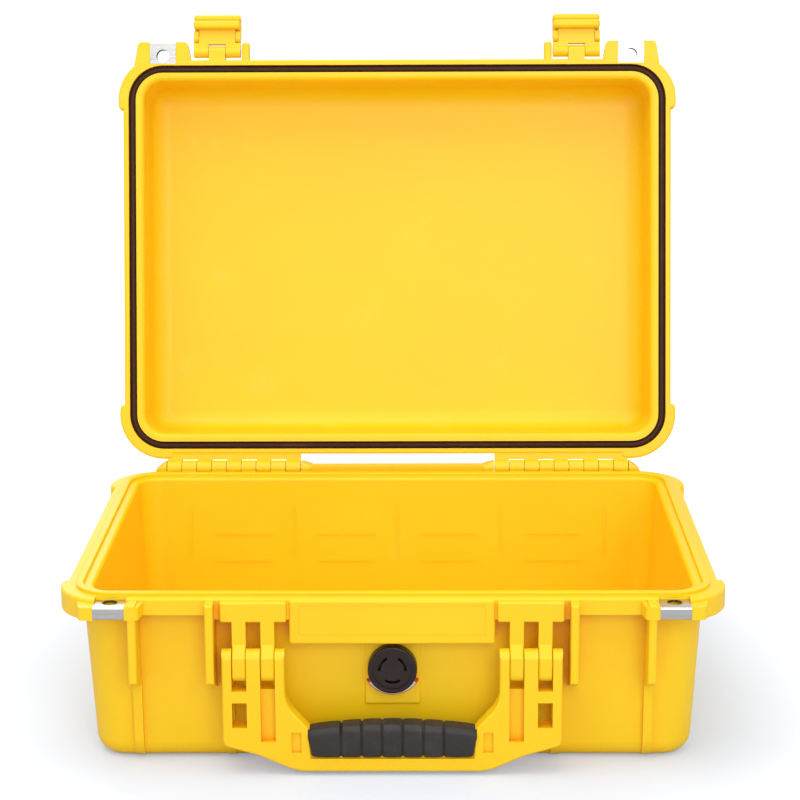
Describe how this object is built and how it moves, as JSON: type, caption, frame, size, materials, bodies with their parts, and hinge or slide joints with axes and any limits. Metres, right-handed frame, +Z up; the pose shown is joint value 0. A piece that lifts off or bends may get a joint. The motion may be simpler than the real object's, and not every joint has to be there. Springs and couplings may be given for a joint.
{
  "type": "protective hard case",
  "caption": "Moulded equipment case with a hinged sealed lid, hook latches, folding rubber-gripped handle, pressure valve and steel-lined padlock eyes, standing open.",
  "frame": {"origin": "centre of the base's underside, on the floor", "axes": "+X to the right along the front, +Y to the back where the hinges are, +Z up"},
  "size_m": [0.4106, 0.4182, 0.4343],
  "materials": {
    "shell_plastic": "satin moulded, fine texture",
    "gasket_rubber": "smooth matt",
    "grip_rubber": "matt, softly moulded",
    "steel": "brushed stainless",
    "valve_plastic": "satin moulded",
    "red_plastic": "smooth",
    "white_plastic": "smooth"
  },
  "bodies": {
    "base": {"base_shell": "shell_plastic", "valve_body": "valve_plastic", "valve_cap": "valve_plastic", "valve_nut": "valve_plastic", "valve_seal": "gasket_rubber", "valve_membrane": "white_plastic", "valve_crescent": "red_plastic", "valve_band": "white_plastic", "hinge_pin_left": "steel", "base_padlock_plate_left": "steel", "handle_pin_left": "steel", "hinge_pin_right": "steel", "base_padlock_plate_right": "steel", "handle_pin_right": "steel"},
    "lid": {"lid_shell": "shell_plastic", "lid_gasket": "gasket_rubber", "lid_padlock_plate_left": "steel", "latch_pivot_pin_left": "steel", "lid_padlock_plate_right": "steel", "latch_pivot_pin_right": "steel"},
    "handle": {"handle_frame": "shell_plastic", "handle_grip": "grip_rubber"},
    "latch_left": {"latch_jaw_left": "shell_plastic", "latch_lever_pin_left": "steel"},
    "latch_left_lever": {"latch_lever_left": "shell_plastic"},
    "latch_right": {"latch_jaw_right": "shell_plastic", "latch_lever_pin_right": "steel"},
    "latch_right_lever": {"latch_lever_right": "shell_plastic"}
  },
  "joints": [
    {"name": "lid_hinge", "type": "hinge", "parent": "base", "child": "lid", "pos_m": [0, 0.1542, 0.111], "axis": [1, 0, 0], "range_deg": [0, 102]},
    {"name": "handle_swing", "type": "hinge", "parent": "base", "child": "handle", "pos_m": [0, -0.1512, 0.0693], "axis": [-1, 0, 0], "range_deg": [-4, 105]},
    {"name": "latch_left_swing", "type": "hinge", "parent": "lid", "child": "latch_left", "pos_m": [-0.1312, 0.2213, 0.40794], "axis": [1, 0, 0], "range_deg": [0, 95]},
    {"name": "latch_left_throw", "type": "hinge", "parent": "latch_left", "child": "latch_left_lever", "pos_m": [-0.1312, 0.22372, 0.41755], "axis": [-1, 0, 0], "range_deg": [0, 40]},
    {"name": "latch_right_swing", "type": "hinge", "parent": "lid", "child": "latch_right", "pos_m": [0.1312, 0.2213, 0.40794], "axis": [1, 0, 0], "range_deg": [0, 95]},
    {"name": "latch_right_throw", "type": "hinge", "parent": "latch_right", "child": "latch_right_lever", "pos_m": [0.1312, 0.22372, 0.41755], "axis": [-1, 0, 0], "range_deg": [0, 40]}
  ]
}
